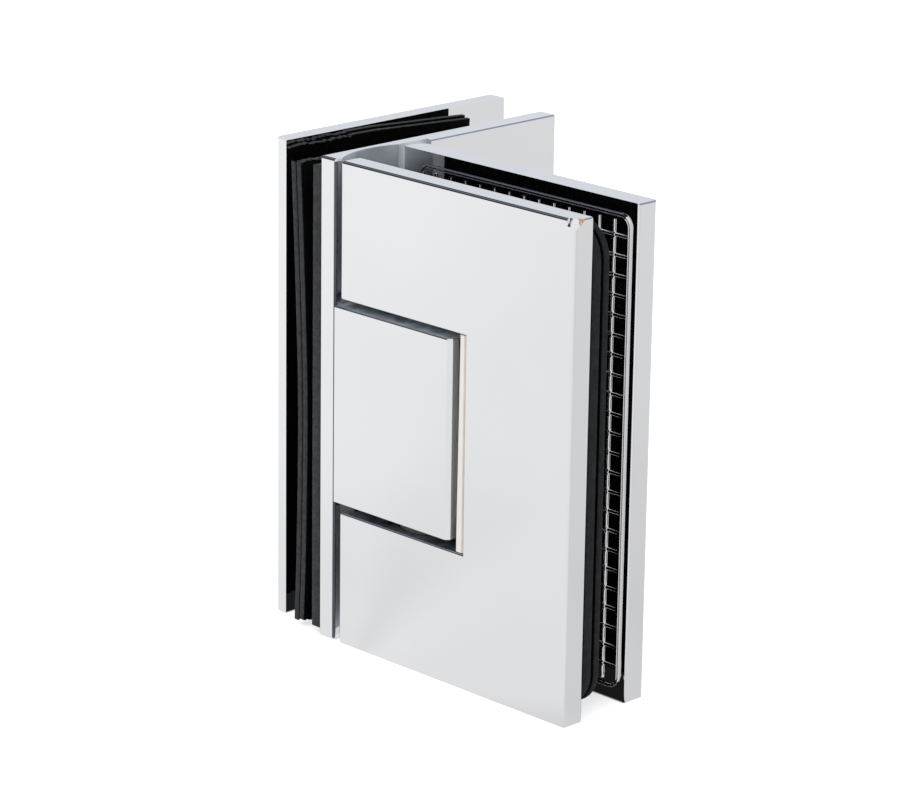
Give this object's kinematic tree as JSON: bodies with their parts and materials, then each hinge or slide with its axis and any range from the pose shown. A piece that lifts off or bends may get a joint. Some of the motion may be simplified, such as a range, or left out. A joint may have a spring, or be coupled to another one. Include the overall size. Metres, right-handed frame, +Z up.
{
  "type": "glass door hinge",
  "caption": "Right-angle glass door hinge with two pairs of polished clamp plates, soft gaskets between them and a pivot block in a notch.",
  "frame": {"origin": "on the pivot axis, level with the bottom edges of the plates", "axes": "+Z up along the pivot pin, +X along the door leaf away from the pivot, +Y along the fixed leaf away from the door leaf's front face"},
  "size_m": [0.0788, 0.059, 0.09],
  "materials": {
    "polished_chrome": "mirror polished plating",
    "steel_screw": "plain stainless",
    "pin_steel": "ground",
    "spring_steel": "plain",
    "bush_brass": "turned",
    "block_steel": "machined",
    "follower_nylon": "matt",
    "washer_nylon": "matt",
    "sleeve_nylon": "matt",
    "strip_white": "satin",
    "gasket_rubber": "matt"
  },
  "bodies": {
    "fixed_leaf": {"fixed_outer_plate": "polished_chrome", "fixed_inner_plate": "polished_chrome", "knuckle_block": "polished_chrome", "knuckle_screws": "steel_screw", "upper_pin_bush": "bush_brass", "lower_pin_bush": "bush_brass", "detent_springs": "spring_steel", "fixed_thick_gasket": "gasket_rubber", "fixed_thin_gasket_outer": "gasket_rubber", "fixed_thin_gasket_inner": "gasket_rubber", "fixed_clamp_screws": "steel_screw", "fixed_screw_sleeves": "sleeve_nylon"},
    "follower": {"detent_follower": "follower_nylon"},
    "door_leaf": {"door_front_plate": "polished_chrome", "door_rear_plate": "polished_chrome", "pivot_pin": "pin_steel", "upper_pin_block": "block_steel", "lower_pin_block": "block_steel", "pin_set_screws": "steel_screw", "pin_block_screws": "steel_screw", "upper_thrust_washer": "washer_nylon", "lower_thrust_washer": "washer_nylon", "notch_strip": "strip_white", "door_front_gasket": "gasket_rubber", "door_thin_gasket": "gasket_rubber", "door_rear_grip": "polished_chrome", "door_clamp_screws": "steel_screw", "door_screw_sleeves": "sleeve_nylon"}
  },
  "joints": [
    {"name": "door_swing", "type": "hinge", "parent": "fixed_leaf", "child": "door_leaf", "pos_m": [0, 0, 0.045], "axis": [0, 0, 1], "range_deg": [-90, 90]},
    {"name": "detent_slide", "type": "slide", "parent": "fixed_leaf", "child": "follower", "axis": [1, 0, 0], "range_m": [0, 0.00075], "stiffness_N_per_m": 4000, "springref_m": 0.003}
  ]
}
